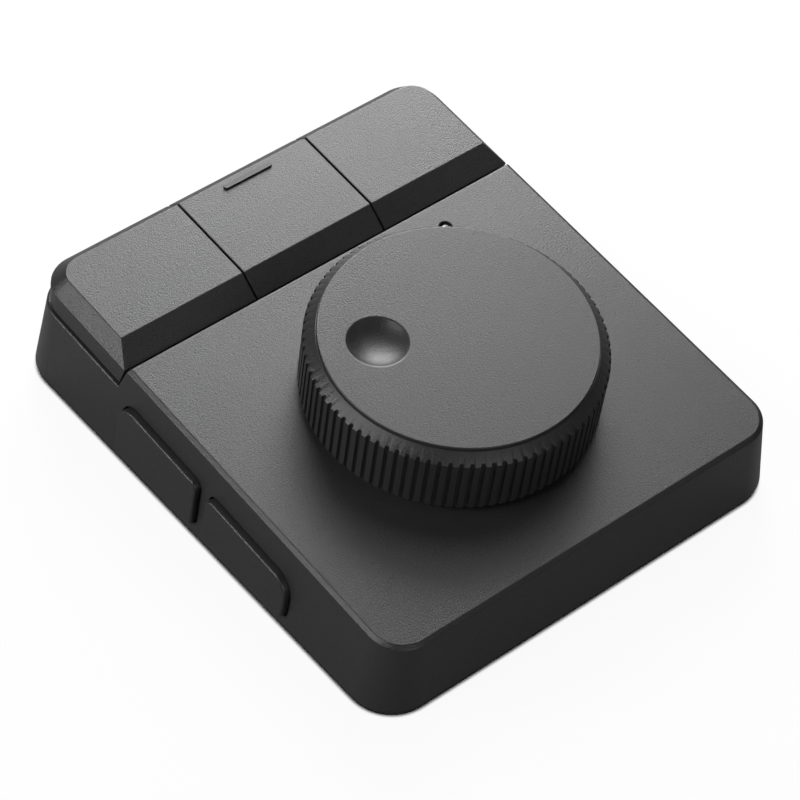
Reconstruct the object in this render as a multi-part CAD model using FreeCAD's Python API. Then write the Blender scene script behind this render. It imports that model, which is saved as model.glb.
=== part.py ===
import FreeCAD, Part
import math
import os
from FreeCAD import Vector

# A low desk keypad: one big knurled dial, three wide keys behind it, two buttons in the left wall.
# Millimetres. X to the right, Y from the front to the back, Z up, origin on the desk under the middle.
# The deck is a plane that rises to the back. Its own frame is (x, along, up), with up = 0 on the deck,
# and the sizes of all that stands on it or hangs below it are given in that frame.

# Body outline
base_half_width = 44.1
base_half_depth = 51.15
base_corner = 8.2
side_lean = 2.1
front_lean = 0.75
back_lean = 3.7
deck_corner = 6.4
deck_angle = 4.04
deck_level = 19.97
deck_chamfer_in = 0.75
deck_chamfer_down = 0.58
wall = 2.0
foot_bevel = 0.3
ledge_round = 0.45
lip_round = 0.5

# Base plate and pad
pad_proud = 0.3
pad_thick = 1.0
pad_inset_x = 14.1
pad_inset_y = 14.15
pad_corner = 5.0
pad_clear = 0.1
pad_groove_wide = 1.2
pad_groove_deep = 0.35
pad_groove_pitch = 9.0
pad_groove_inset = 6.0
plate_edge_top = 1.1
plate_edge_inset = 0.35
plate_top = 2.5
plate_clear = 0.5
plate_rib_wide = 1.4
plate_rib_high = 1.4
plate_rib_x = [-20.0, 0.0, 20.0]
plate_rib_y = [-22.0, 16.0]
plate_rib_inset = 11.2

# Case screws
case_screw_inset_x = 9.1
case_screw_inset_front = 8.65
case_screw_inset_back = 10.15
case_screw_r = 1.3
case_head_r = 2.3
case_head_high = 1.6
case_head_room = 0.35
case_shank_room = 0.2
case_seat = 2.9
case_screw_long = 8.0
case_boss_r = 3.2
case_boss_low = 4.9
plate_boss_r = 3.8
screw_clear = 0.05
screw_arm_share = 0.62
screw_slot_share = 0.28
tip_room = 0.4

# Key well
well_gap = 0.73
well_slant = 0.285
well_wall = 1.6
ledge_down = 5.7
floor_thick = 1.6
key_travel = 0.4
key_stop_room = 0.3

# Keys
key_count = 3
key_top_up = 2.0
key_top_deep = 18.7
key_top_corner = 4.0
key_top_round = 0.25
key_brim_down = 0.9
key_brim_past_side = 0.1
key_brim_inset_back = 0.1
key_brim_corner = 6.4
key_slope_side = 2.3
key_slope_front = 4.27
key_slope_back = 2.65
key_skin = 1.5
key_skin_front = 1.725
key_roof = 1.6
key_neck_down = 1.6
seam_gap = 0.4
seam_wall = 1.3

# Key guides, hooks, pushers and springs
post_r = 1.5
post_clear = 0.06
post_low = 8.1
post_collar_r = 2.3
post_collar_high = 1.2
sleeve_r = 3.0
sleeve_up = 3.3
sleeve_room = 0.3
rib_thick = 0.8
rib_deep = 1.0
hook_wide = 4.0
hook_thick = 1.1
hook_barb = 0.8
hook_under = 0.3
hook_low = 8.3
hook_room = 0.4
hook_inset_front = 5.4
hook_inset_back = 4.4
pusher_r = 2.1
spring_wire = 0.5
spring_turns = 4.0

# Tact switches, on the main board and on the side board
switch_side = 6.0
switch_high = 3.5
switch_cover = 0.35
switch_cover_inset = 0.1
switch_window = 7.2
plunger_r = 1.7
plunger_clear = 0.05
plunger_proud = 0.75
plunger_deep = 0.9
plunger_room = 0.8

# Tactile bar of the middle key
bar_long = 10.4
bar_wide = 1.0
bar_inset = 1.6
bar_proud = 0.4
bar_deep = 0.8
bar_clear = 0.1
bar_round = 0.3

# Dial
dial_behind_middle = 1.75
dial_under = 1.37
dial_top_up = 14.85
dial_edge_bevel = 0.2
knurl_r = 25.74
knurl_count = 90
groove_r = 0.42
groove_in = 0.1
cone_wide = 1.99
cone_high = 1.65
ring_wall = 2.55
ring_roof = 1.6
ring_edge = 0.4
lid_step = 0.7
lid_inset = 0.12
spigot_inset = 2.23
spigot_gap = 0.1
spigot_deep = 1.5
dimple_x = -12.0
dimple_along = 6.46
dimple_r = 5.3
dimple_deep = 1.9
bowl_skin = 1.4
bowl_wider = 1.6

# Dial hub and its screws
hub_disc_under_roof = 3.25
hub_disc_thick = 1.6
hub_rim_gap = 0.39
hub_rim_wall = 1.3
hub_boss_r = 5.5
hub_boss_low = 4.6
hub_boss_gap = 0.35
hub_bore_clear = 0.02
hub_spokes = 6
hub_rib_thick = 1.4
hub_rib_start = 4.2
hub_rib_down = 2.1
hub_rib_inset = 2.0
hub_hole_r = 2.6
hub_hole_apart = 5.0
hub_screws = 3
hub_screw_inset = 6.3
hub_screw_turn = 60.0
hub_screw_r = 1.1
hub_screw_room = 0.15
hub_head_r = 2.0
hub_head_high = 1.3
hub_post_r = 2.6
hub_screw_long = 4.0

# Encoder
encoder_half_x = 6.2
encoder_half_along = 6.6
encoder_split = 5.4
encoder_pins = 3
encoder_pin_pitch = 2.5
encoder_pin_wide = 0.8
encoder_pin_out = 1.4
encoder_pin_drop = 2.2
encoder_pin_rise = 1.0
bush_r = 3.5
bush_top = 4.0
bush_lead = 0.3
bush_hole_clear = 0.15
shaft_r = 3.0
shaft_clear = 0.05
shaft_cover = 0.3
shaft_lead = 0.4
shaft_flat = 1.5
shaft_flat_gap = 0.3
rotor_r = 4.5
rotor_lift = 1.1
rotor_high = 1.8
rotor_clear = 0.3
rotor_head_room = 1.5
washer_r = 5.75
washer_thick = 0.5
washer_clear = 0.05
nut_sides = 6
nut_half_flat = 5.0
nut_high = 2.0
nut_clear = 0.02
nut_bevel = 0.35

# Boards
board_down = 9.0
board_thick = 1.6
board_before_dial = 15.05
board_inset_back = 1.65
board_inset_side = 10.1
board_screw_room = 5.0
board_side_gap = 2.0
board_step_past = 2.3
board_hole_room = 0.15
board_post_r = 2.5
board_screw_r = 1.0
board_head_r = 1.8
board_head_high = 1.2
board_screw_deck_long = 5.0
board_screw_floor_long = 4.0
board_post_inset = 7.5
board_post_before_dial = 10.55
board_post_from_well = 12.0
board_post_inset_back = 5.3
web_half = 4.5
web_thick = 1.0
web_low = 4.5
deck_rib_apart = 28.0
deck_rib_thick = 1.2
deck_rib_low = 4.0
deck_rib_before_dial = 23.05
deck_rib_behind_dial = 20.95

# Side board and its buttons
side_board_behind = 6.0
side_board_past_front = 2.1
side_board_past_back = 2.4
side_board_low = 3.0
side_back_long = 21.4
side_front_long = 21.8
side_apart = 2.8
side_from_well = 0.1
side_low = 3.5
side_top_down = 6.77
side_proud = 1.2
side_gap = 0.3
side_outer_corner = 3.6
side_inner_corner = 1.6
side_low_corner = 1.0
side_face_round = 0.4
side_flange_behind = 1.9
side_flange_thick = 0.8
side_flange_out = 0.8
side_flange_low = 3.0
side_nub_r = 2.2
side_pocket_deep = 1.3
side_pocket_gap = 3.2
side_pocket_end = 2.0
side_pocket_low = 1.8
side_pocket_high = 5.2
guide_thick = 1.6
guide_grip = 1.2
guide_out = 1.5
guide_top_down = 2.2
guide_clear = 0.1

# Header between the two boards
header_behind_gap = 1.9
header_rim = 0.73
header_pitch = 2.0
header_count = 4
header_pin_half = 0.3
header_pin_up = 1.5
header_pin_through = 0.6
header_turn = 5.0
header_hole_half = 0.45
header_block_gap = 2.1
header_block_wide = 2.5
header_block_high = 2.6
header_clear = 0.02

# Light pipe behind the dial
light_x = 22.9
light_from_well = 5.31
light_hole_r = 1.18
light_r = 0.85
light_sunk = 0.15
light_flange_r = 1.9
light_flange_thick = 0.8
light_collar = 1.3
light_collar_low = 3.4
led_half_x = 1.6
led_half_along = 1.3
led_high = 0.7
led_lens_r = 1.2
led_lens_tip_r = 0.9
led_lens_high = 0.6
led_gap = 0.3

# USB-C socket under the back edge of the main board
socket_half_wide = 4.47
socket_high = 3.2
socket_long = 7.3
socket_past_deck = 1.05
socket_skin = 0.3
socket_back_wall = 1.2
socket_gap = 0.35
tongue_half_wide = 3.35
tongue_thick = 0.7
tongue_inset = 1.0

# Chips on the underside of the main board
chip_x = 4.0
chip_behind_dial = 10.95
chip_side = 7.0
chip_high = 0.9
chip_dot_r = 0.4
chip_dot_inset = 1.0
chip_dot_deep = 0.1
crystal_x = 13.5
crystal_behind_dial = 12.95
crystal_wide = 3.2
crystal_long = 2.5
crystal_high = 0.8
regulator_x = -12.0
regulator_from_back = 17.8
regulator_side = 3.0
regulator_high = 1.2
capacitor_wide = 1.6
capacitor_long = 0.8
capacitor_rows = 4
capacitor_pitch = 2.2

# Sizes worked out from the ones above
deck_half_width = base_half_width - side_lean
deck_front = -base_half_depth + front_lean
deck_back = base_half_depth - back_lean
key_brim_half_width = deck_half_width + key_brim_past_side
key_brim_back = deck_back - key_brim_inset_back
key_top_half_width = key_brim_half_width - key_slope_side
key_top_back = key_brim_back - key_slope_back
key_top_front = key_top_back - key_top_deep
key_brim_front = key_top_front - key_slope_front
well_edge = key_brim_front - well_gap
seam_x = key_brim_half_width / key_count
case_screw_x = base_half_width - case_screw_inset_x
case_screw_front = -base_half_depth + case_screw_inset_front
case_screw_back = base_half_depth - case_screw_inset_back
key_under = key_top_up - key_roof
key_middle_along = (key_brim_front + key_brim_back) / 2
key_side_x = (seam_x + key_brim_half_width) / 2
key_low = -ledge_down + key_travel + key_stop_room
floor_under = ledge_down + floor_thick
post_spread = seam_x - seam_gap / 2 - seam_wall - sleeve_r - sleeve_room
spring_r = (switch_window + spring_wire) / math.sqrt(2)
bar_along = key_top_back - bar_inset
dial_along = (deck_front + well_edge) / 2 + dial_behind_middle
cone_r = knurl_r - cone_wide
cone_top = dial_top_up - lid_step
knurl_top = cone_top - cone_high
lid_r = cone_r - lid_inset
spigot_r = lid_r - spigot_inset
ring_roof_low = cone_top - ring_roof
hub_rim_r = knurl_r - ring_wall - hub_rim_gap
hub_disc_low = ring_roof_low - hub_disc_under_roof
hub_disc_top = hub_disc_low + hub_disc_thick
hub_boss_top = cone_top - spigot_deep - hub_boss_gap
hub_screw_circle = hub_rim_r - hub_screw_inset
hub_hole_circle = hub_screw_circle - hub_hole_apart
shaft_top = hub_boss_top - shaft_cover
rotor_low = board_down - rotor_lift
shaft_flat_low = bush_top + shaft_flat_gap
light_along = well_edge - light_from_well
side_flange_x = -base_half_width + wall + side_flange_behind
side_board_x = side_flange_x + side_board_behind
side_top = deck_level - side_top_down
side_rise = math.tan(math.radians(deck_angle))
side_back_end = well_edge - side_from_well
side_back_span = (side_back_end - side_back_long, side_back_end)
side_front_end = side_back_span[0] - side_apart
side_front_span = (side_front_end - side_front_long, side_front_end)
side_board_front = side_front_span[0] - side_board_past_front
side_board_back = side_back_span[1] + side_board_past_back
header_along = (side_back_span[0] + side_front_end) / 2 + header_behind_gap
header_level = deck_level + header_along * side_rise - board_down + header_pin_up
side_board_top = header_level + header_rim
board_under = -board_down - board_thick
board_front = dial_along - board_before_dial
board_back = deck_back - board_inset_back
board_half_width = base_half_width - board_inset_side
board_shoulder = case_screw_back - board_screw_room
board_tongue_half_width = case_screw_x - board_screw_room
board_left = -side_board_x - board_thick - board_side_gap
board_step = side_board_back + board_step_past
board_post_x = board_half_width - board_post_inset
board_post_ys = (dial_along - board_post_before_dial, well_edge - board_post_from_well)
board_posts_deck = [(side * board_post_x, y) for side in (-1, 1) for y in board_post_ys]
board_posts_floor = [(side * seam_x, board_back - board_post_inset_back) for side in (-1, 1)]
chip_along = dial_along + chip_behind_dial
crystal_along = dial_along + crystal_behind_dial
socket_middle = board_under - socket_high / 2
socket_mouth = deck_back + socket_past_deck
socket_front = socket_mouth - socket_long
arc_share = 1 - math.sqrt(0.5)
full_turn = 360.0
overlap = 0.2
touch = 0.02
far = 70.0


# Shared helpers

def tilt(shape):
    # Carries a shape from the deck's own frame into the body's frame.
    moved = shape.copy()
    moved.rotate(Vector(0, 0, 0), Vector(1, 0, 0), deck_angle)
    moved.translate(Vector(0, 0, deck_level))
    return moved


def deck_coordinates(point):
    angle = math.radians(deck_angle)
    rise = point.z - deck_level
    along = point.y * math.cos(angle) + rise * math.sin(angle)
    up = -point.y * math.sin(angle) + rise * math.cos(angle)
    return along, up


def block(x0, x1, y0, y1, z0, z1):
    return Part.makeBox(x1 - x0, y1 - y0, z1 - z0, Vector(x0, y0, z0))


def slab(x, y, half_x, half_y, z0, z1):
    return block(x - half_x, x + half_x, y - half_y, y + half_y, z0, z1)


def rod(x, y, z0, z1, r):
    return Part.makeCylinder(r, z1 - z0, Vector(x, y, z0))


def fuse_all(shapes):
    whole = shapes[0]
    if len(shapes) > 1:
        whole = whole.fuse(shapes[1:])
    return whole.removeSplitter()


def closed_wire(points, arcs):
    # Joins the points in order. An arc's number is that of its first point, and it uses the next two.
    edges = []
    i = 0
    while i < len(points):
        if i in arcs:
            ends = [points[i], points[i + 1], points[(i + 2) % len(points)]]
            edges.append(Part.Arc(*ends).toShape())
            i += 2
        else:
            edges.append(Part.makeLine(points[i], points[(i + 1) % len(points)]))
            i += 1
    return Part.Wire(edges)


def rounded_outline(half_x, y0, y1, r, z):
    k = r * arc_share
    a = half_x
    places = [(-a + r, y0), (a - r, y0), (a - k, y0 + k), (a, y0 + r), (a, y1 - r), (a - k, y1 - k),
              (a - r, y1), (-a + r, y1), (-a + k, y1 - k), (-a, y1 - r), (-a, y0 + r), (-a + k, y0 + k)]
    return closed_wire([Vector(x, y, z) for x, y in places], (1, 4, 7, 10))


def key_outline(half_x, y0, y1, r, z):
    # The three keys together: square at the front, rounded at the back.
    k = r * arc_share
    a = half_x
    places = [(-a, y0), (a, y0), (a, y1 - r), (a - k, y1 - k), (a - r, y1), (-a + r, y1),
              (-a + k, y1 - k), (-a, y1 - r)]
    return closed_wire([Vector(x, y, z) for x, y in places], (2, 5))


def loft(lower, upper):
    return Part.makeLoft([lower, upper], True, True)


def plate_of(outline, thick):
    return Part.Face(outline).extrude(Vector(0, 0, thick))


def prism_x(points, x0, x1):
    # A polygon of (along, up) pairs, drawn out along X.
    corners = [Vector(x0, y, z) for y, z in points]
    face = Part.Face(Part.makePolygon(corners + [corners[0]]))
    return face.extrude(Vector(x1 - x0, 0, 0))


def revolved(points):
    # A closed profile of (radius, up) pairs, turned round the dial's axis.
    corners = [Vector(r, 0, z) for r, z in points]
    face = Part.Face(Part.makePolygon(corners + [corners[0]]))
    return face.revolve(Vector(0, 0, 0), Vector(0, 0, 1), full_turn)


def on_circle(r, turn):
    angle = math.radians(turn)
    return r * math.cos(angle), r * math.sin(angle)


def screw(x, y, seat, r, head_r, head_high, long):
    # Driven from below: the head under its seat, the shank above it, a cross recess in the head.
    low = seat - head_high
    head = rod(x, y, low, seat, head_r)
    shank = rod(x, y, seat - overlap, seat + long, r)
    arm = head_r * screw_arm_share
    slot = r * screw_slot_share
    deep = low + head_high / 2
    cross = [slab(x, y, arm, slot, low - overlap, deep), slab(x, y, slot, arm, low - overlap, deep)]
    return fuse_all([head, shank]).cut(cross)


# Case

def body_form(grow=0.0, edged=True):
    # Outside of the case: drafted walls between the level foot and the rising deck.
    foot = plate_edge_top + foot_bevel
    low = rounded_outline(base_half_width + grow, -base_half_depth - grow, base_half_depth + grow,
                          base_corner + grow, foot)
    brim = rounded_outline(deck_half_width + grow, deck_front - grow, deck_back + grow,
                           deck_corner + grow, -deck_chamfer_down)
    parts = [loft(low, tilt(brim))]
    if edged:
        under = rounded_outline(base_half_width - foot_bevel, -base_half_depth + foot_bevel,
                                base_half_depth - foot_bevel, base_corner - foot_bevel, plate_edge_top)
        lid = rounded_outline(deck_half_width - deck_chamfer_in, deck_front + deck_chamfer_in,
                              deck_back - deck_chamfer_in, deck_corner - deck_chamfer_in, 0.0)
        parts.append(loft(under, low))
        parts.append(tilt(loft(brim, lid)))
    return fuse_all(parts)


def inner_outline(z):
    return rounded_outline(base_half_width - wall, -base_half_depth + wall, base_half_depth - wall,
                           base_corner - wall, z)


def body_hollow():
    low = inner_outline(plate_edge_top)
    skirt = inner_outline(plate_edge_top - wall)
    roof = rounded_outline(deck_half_width - wall, deck_front + wall, deck_back - wall,
                           deck_corner - wall, -wall)
    return fuse_all([loft(low, tilt(roof)), loft(skirt, low)])


def well_face(up):
    # Where the slanting front of the key well lies at a height over the deck.
    return well_edge - well_slant * up


def key_well():
    return tilt(prism_x([(well_edge, 0), (well_face(-ledge_down), -ledge_down), (far, -ledge_down),
                         (far, far), (well_edge, far)], -far, far))


def well_floor():
    # Floor of the key well with the slanting wall at its front.
    return tilt(prism_x([(well_edge - well_wall, -deck_chamfer_down), (well_edge, 0),
                         (well_face(-ledge_down), -ledge_down), (far, -ledge_down), (far, -floor_under),
                         (well_face(-floor_under) - well_wall, -floor_under)], -far, far))


def case_screw_places():
    return [(side * case_screw_x, y) for side in (-1, 1) for y in (case_screw_front, case_screw_back)]


def key_places():
    return [-key_side_x, 0.0, key_side_x]


def hook_places(x):
    # The middle of each hook's tab, and the way that its barb points.
    return [(x, key_brim_front + hook_inset_front, -1), (x, key_brim_back - hook_inset_back, 1)]


def round_well_edges(shell):
    # Rounds the ledge's outer rim and the deck's lip over the key well.
    rim = []
    lip = []
    for edge in shell.Edges:
        middle = edge.valueAt((edge.FirstParameter + edge.LastParameter) / 2)
        along, up = deck_coordinates(middle)
        outside = abs(middle.x) > deck_half_width - wall / 2 or along > deck_back - wall / 2
        if abs(up + ledge_down) < touch and outside and along > well_edge + wall:
            rim.append(edge)
        if abs(up) < touch and abs(along - well_edge) < touch:
            lip.append(edge)
    return shell.makeFillet(ledge_round, rim).makeFillet(lip_round, lip)


def trimmed(piece):
    # Keeps a boss or rib below the deck's top.
    above = prism_x([(-far, -wall / 2), (well_edge - wall, -wall / 2), (well_edge - wall, far),
                     (-far, far)], -far, far)
    return piece.cut(tilt(above))


def housing_bosses():
    root = -wall + overlap
    added = []
    for x, y in case_screw_places():
        boss = rod(x, y, case_boss_low, far, case_boss_r).common(body_hollow())
        added.append(boss.cut(key_well()))
    for x, y in board_posts_deck:
        added.append(tilt(rod(x, y, -board_down, root, board_post_r)))
        added.append(tilt(slab(x, y, web_thick / 2, web_half, -web_low, root)))
    for x, y in board_posts_floor:
        added.append(tilt(rod(x, y, -board_down, -floor_under + overlap, board_post_r)))
    for x in key_places():
        for side in (-1, 1):
            added.append(tilt(rod(x + side * post_spread, key_middle_along, -ledge_down - overlap,
                                  -ledge_down + sleeve_up, sleeve_r)))
    for x in (-deck_rib_apart / 2, deck_rib_apart / 2):
        added.append(tilt(block(x - deck_rib_thick / 2, x + deck_rib_thick / 2,
                                dial_along - deck_rib_before_dial, dial_along + deck_rib_behind_dial,
                                -deck_rib_low, root)))
    added.append(tilt(rod(light_x, light_along, -light_collar_low, root, light_flange_r + light_collar)))
    return [trimmed(piece) for piece in added]


def hook_hole(x, y, way):
    half = hook_thick / 2 + hook_room
    y0 = y - half - (hook_barb if way < 0 else 0)
    y1 = y + half + (hook_barb if way > 0 else 0)
    return tilt(block(x - hook_wide / 2 - hook_room, x + hook_wide / 2 + hook_room, y0, y1,
                      -board_down, -ledge_down + overlap))


def key_seat_cuts():
    cuts = []
    for x in key_places():
        window = slab(x, key_middle_along, switch_window / 2, switch_window / 2, -board_down,
                      -ledge_down + overlap)
        cuts.append(tilt(window))
        for side in (-1, 1):
            cuts.append(tilt(rod(x + side * post_spread, key_middle_along, -board_down, 0.0,
                                 post_r + post_clear)))
        for place in hook_places(x):
            cuts.append(hook_hole(*place))
    return cuts


def screw_pilots():
    pilots = []
    for x, y in case_screw_places():
        pilots.append(rod(x, y, case_boss_low - overlap, case_seat + case_screw_long + tip_room,
                          case_screw_r + screw_clear))
    board_sets = [(board_posts_deck, board_screw_deck_long), (board_posts_floor, board_screw_floor_long)]
    for places, long in board_sets:
        for x, y in places:
            pilots.append(tilt(rod(x, y, -board_down - overlap, board_under + long + tip_room,
                                   board_screw_r + screw_clear)))
    return pilots


def housing():
    hollow = body_hollow()
    outer = body_form()
    shell = outer.cut(hollow).cut(key_well())
    shell = shell.fuse(outer.common(well_floor())).removeSplitter()
    shell = round_well_edges(shell)
    shell = shell.fuse(housing_bosses()).removeSplitter()
    cuts = key_seat_cuts() + screw_pilots()
    cuts.append(tilt(rod(0, dial_along, -board_down, overlap, bush_r + bush_hole_clear)))
    cuts.append(tilt(rod(light_x, light_along, -board_down, overlap, light_hole_r)))
    cuts.append(tilt(rod(light_x, light_along, -board_down, -wall, light_flange_r + socket_gap)))
    for span, end in ((side_back_span, "back"), (side_front_span, "front")):
        cuts.append(side_prism(span, end, side_gap, -far, side_flange_x + overlap))
    cuts.append(tilt(socket_form(socket_gap, socket_front, far)))
    return shell.cut(cuts)


def base_plate():
    inset = plate_edge_inset
    edge = plate_of(rounded_outline(base_half_width - inset, -base_half_depth + inset,
                                    base_half_depth - inset, base_corner - inset, pad_proud),
                    plate_edge_top - pad_proud)
    inset = wall + plate_clear
    lip = plate_of(rounded_outline(base_half_width - inset, -base_half_depth + inset,
                                   base_half_depth - inset, base_corner - inset, pad_proud),
                   plate_top - pad_proud)
    parts = [edge, lip]
    for x, y in case_screw_places():
        parts.append(rod(x, y, plate_top - overlap, case_boss_low, plate_boss_r))
    half = plate_rib_wide / 2
    rib_top = plate_top + plate_rib_high
    for x in plate_rib_x:
        parts.append(block(x - half, x + half, -base_half_depth + plate_rib_inset,
                           base_half_depth - plate_rib_inset, plate_top - overlap, rib_top))
    for y in plate_rib_y:
        parts.append(block(plate_rib_x[0], plate_rib_x[-1], y - half, y + half, plate_top - overlap, rib_top))
    parts.extend(side_board_guides())
    plate = fuse_all(parts)
    cuts = [pad_form(pad_clear)]
    for x, y in case_screw_places():
        cuts.append(rod(x, y, 0.0, case_seat, case_head_r + case_head_room))
        cuts.append(rod(x, y, 0.0, far, case_screw_r + case_shank_room))
    return plate.cut(cuts)


def side_board_guides():
    # Two upright channels that hold the ends of the side board.
    guides = []
    x0 = side_board_x - guide_clear
    x1 = side_board_x + board_thick + guide_clear
    for y, way in ((side_board_front, -1), (side_board_back, 1)):
        ends = sorted((y - way * guide_grip, y + way * guide_out))
        post = block(x0 - guide_thick, x1 + guide_thick, ends[0], ends[1], plate_top - overlap,
                     side_board_top - guide_top_down)
        slot_ends = sorted((y - way * (guide_grip + overlap), y + way * guide_clear))
        slot = block(x0, x1, slot_ends[0], slot_ends[1], side_board_low - guide_clear, far)
        guides.append(post.cut(slot))
    return guides


def pad_form(grow):
    outline = rounded_outline(base_half_width - pad_inset_x + grow, -base_half_depth + pad_inset_y - grow,
                              base_half_depth - pad_inset_y + grow, pad_corner + grow, 0.0)
    return plate_of(outline, pad_thick)


def grip_pad():
    half = base_half_width - pad_inset_x - pad_groove_inset
    grooves = []
    for i in (-3, -2, -1, 1, 2, 3):
        grooves.append(slab(0.0, i * pad_groove_pitch, half, pad_groove_wide / 2, -overlap,
                            pad_groove_deep))
    return pad_form(0.0).cut(grooves)


def case_screws():
    return Part.makeCompound([screw(x, y, case_seat, case_screw_r, case_head_r, case_head_high,
                                    case_screw_long) for x, y in case_screw_places()])


# Main board and what it carries

def main_board():
    main = block(-board_left, board_half_width, board_front, board_shoulder, board_under, -board_down)
    left = block(-board_half_width, 0.0, board_step, board_shoulder, board_under, -board_down)
    tongue = block(-board_tongue_half_width, board_tongue_half_width, board_step, board_back,
                   board_under, -board_down)
    board = fuse_all([main, left, tongue])
    cuts = []
    for x, y in board_posts_deck + board_posts_floor:
        cuts.append(rod(x, y, -far, 0.0, board_screw_r + board_hole_room))
    for x in encoder_pin_places():
        middle = dial_along - encoder_half_along - encoder_pin_out + encoder_pin_wide / 4
        cuts.append(rod(x, middle, -far, 0.0, encoder_pin_wide / 2 + board_hole_room))
    return tilt(board.cut(cuts + header_pin_set(header_hole_half)))


def board_screws():
    screws = []
    board_sets = [(board_posts_deck, board_screw_deck_long), (board_posts_floor, board_screw_floor_long)]
    for places, long in board_sets:
        for x, y in places:
            screws.append(screw(x, y, board_under, board_screw_r, board_head_r, board_head_high, long))
    return tilt(Part.makeCompound(screws))


def controller_chip():
    chip = block(chip_x, chip_x + chip_side, chip_along, chip_along + chip_side,
                 board_under - chip_high, board_under)
    dot = rod(chip_x + chip_dot_inset, chip_along + chip_dot_inset, board_under - chip_high - overlap,
              board_under - chip_high + chip_dot_deep, chip_dot_r)
    return tilt(chip.cut(dot))


def board_parts():
    # Crystal, regulator and two rows of capacitors.
    crystal = block(crystal_x, crystal_x + crystal_wide, crystal_along, crystal_along + crystal_long,
                    board_under - crystal_high, board_under)
    y = board_back - regulator_from_back
    regulator = block(regulator_x, regulator_x + regulator_side, y, y + regulator_side,
                      board_under - regulator_high, board_under)
    parts = [crystal, regulator]
    for i in range(capacitor_rows):
        y = chip_along + chip_side + capacitor_pitch * (i + 1)
        for x in (chip_x, chip_x + chip_side - capacitor_wide):
            parts.append(block(x, x + capacitor_wide, y, y + capacitor_long,
                               board_under - crystal_high, board_under))
    return tilt(Part.makeCompound(parts))


def status_led():
    top = -board_down + led_high
    body = slab(light_x, light_along, led_half_x, led_half_along, -board_down, top)
    lens = Part.makeCone(led_lens_r, led_lens_tip_r, led_lens_high, Vector(light_x, light_along, top))
    return tilt(fuse_all([body, lens]))


def light_pipe():
    # Clear pin that carries the lamp's light to the deck, held by its flange under the deck.
    low = -board_down + led_high + led_lens_high + led_gap
    pin = rod(light_x, light_along, low, -light_sunk, light_r)
    flange = rod(light_x, light_along, -wall - light_flange_thick, -wall, light_flange_r)
    return tilt(fuse_all([pin, flange]))


def socket_form(grow, y0, y1):
    # Bar with round ends in the place of the socket: its shell, its mouth, and the window in the wall.
    r = socket_high / 2 + grow
    flat = socket_half_wide - socket_high / 2
    core = block(-flat, flat, y0, y1, socket_middle - r, socket_middle + r)
    ends = [Part.makeCylinder(r, y1 - y0, Vector(side * flat, y0, socket_middle), Vector(0, 1, 0))
            for side in (-1, 1)]
    return fuse_all([core] + ends)


def usb_socket():
    shell = socket_form(0.0, socket_front, socket_mouth)
    return tilt(shell.cut(socket_form(-socket_skin, socket_front + socket_back_wall, far)))


def usb_tongue():
    root_end = socket_front + socket_back_wall * 2
    root = socket_form(-socket_skin, socket_front + socket_back_wall, root_end)
    blade = block(-tongue_half_wide, tongue_half_wide, root_end - overlap, socket_mouth - tongue_inset,
                  socket_middle - tongue_thick / 2, socket_middle + tongue_thick / 2)
    return tilt(fuse_all([root, blade]))


# Tact switches

def tact_body(x, y, z0):
    half = switch_side / 2
    seam = z0 + switch_high - switch_cover
    base = slab(x, y, half, half, z0, seam)
    cover = slab(x, y, half - switch_cover_inset, half - switch_cover_inset, seam, z0 + switch_high)
    hole = rod(x, y, z0 + switch_high - plunger_deep - plunger_room, z0 + far, plunger_r + plunger_clear)
    return fuse_all([base, cover]).cut(hole)


def tact_plunger(x, y, z0):
    top = z0 + switch_high
    return rod(x, y, top - plunger_deep, top + plunger_proud, plunger_r)


def key_switches():
    return tilt(Part.makeCompound([tact_body(x, key_middle_along, -board_down) for x in key_places()]))


def key_plunger(x):
    return tilt(tact_plunger(x, key_middle_along, -board_down))


# Keys

def key_outline_at(up):
    # The keys' outline below the brim, where the front face slants back with the well.
    slant = well_slant * (-key_brim_down - up)
    return key_outline(key_brim_half_width, key_brim_front + slant, key_brim_back, key_brim_corner, up)


def key_block():
    top = key_outline(key_top_half_width, key_top_front, key_top_back, key_top_corner, key_top_up)
    brim = key_outline_at(-key_brim_down)
    upper = loft(brim, top)
    rim = [edge for edge in upper.Edges if edge.BoundBox.ZMin > key_top_up - touch]
    return fuse_all([upper.makeFillet(key_top_round, rim), loft(key_outline_at(key_low), brim)])


def key_hollow():
    corner = key_top_corner - key_skin / 2
    roof = key_outline(key_top_half_width - key_skin, key_top_front + key_skin, key_top_back - key_skin,
                       corner, key_under)
    inner = []
    for up in (-key_neck_down, -ledge_down):
        slant = well_slant * (-key_neck_down - up)
        inner.append(key_outline(key_brim_half_width - key_skin, key_brim_front + key_skin_front + slant,
                                 key_brim_back - key_skin, key_brim_corner - key_skin, up))
    return fuse_all([loft(inner[0], roof), loft(inner[1], inner[0])])


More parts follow.
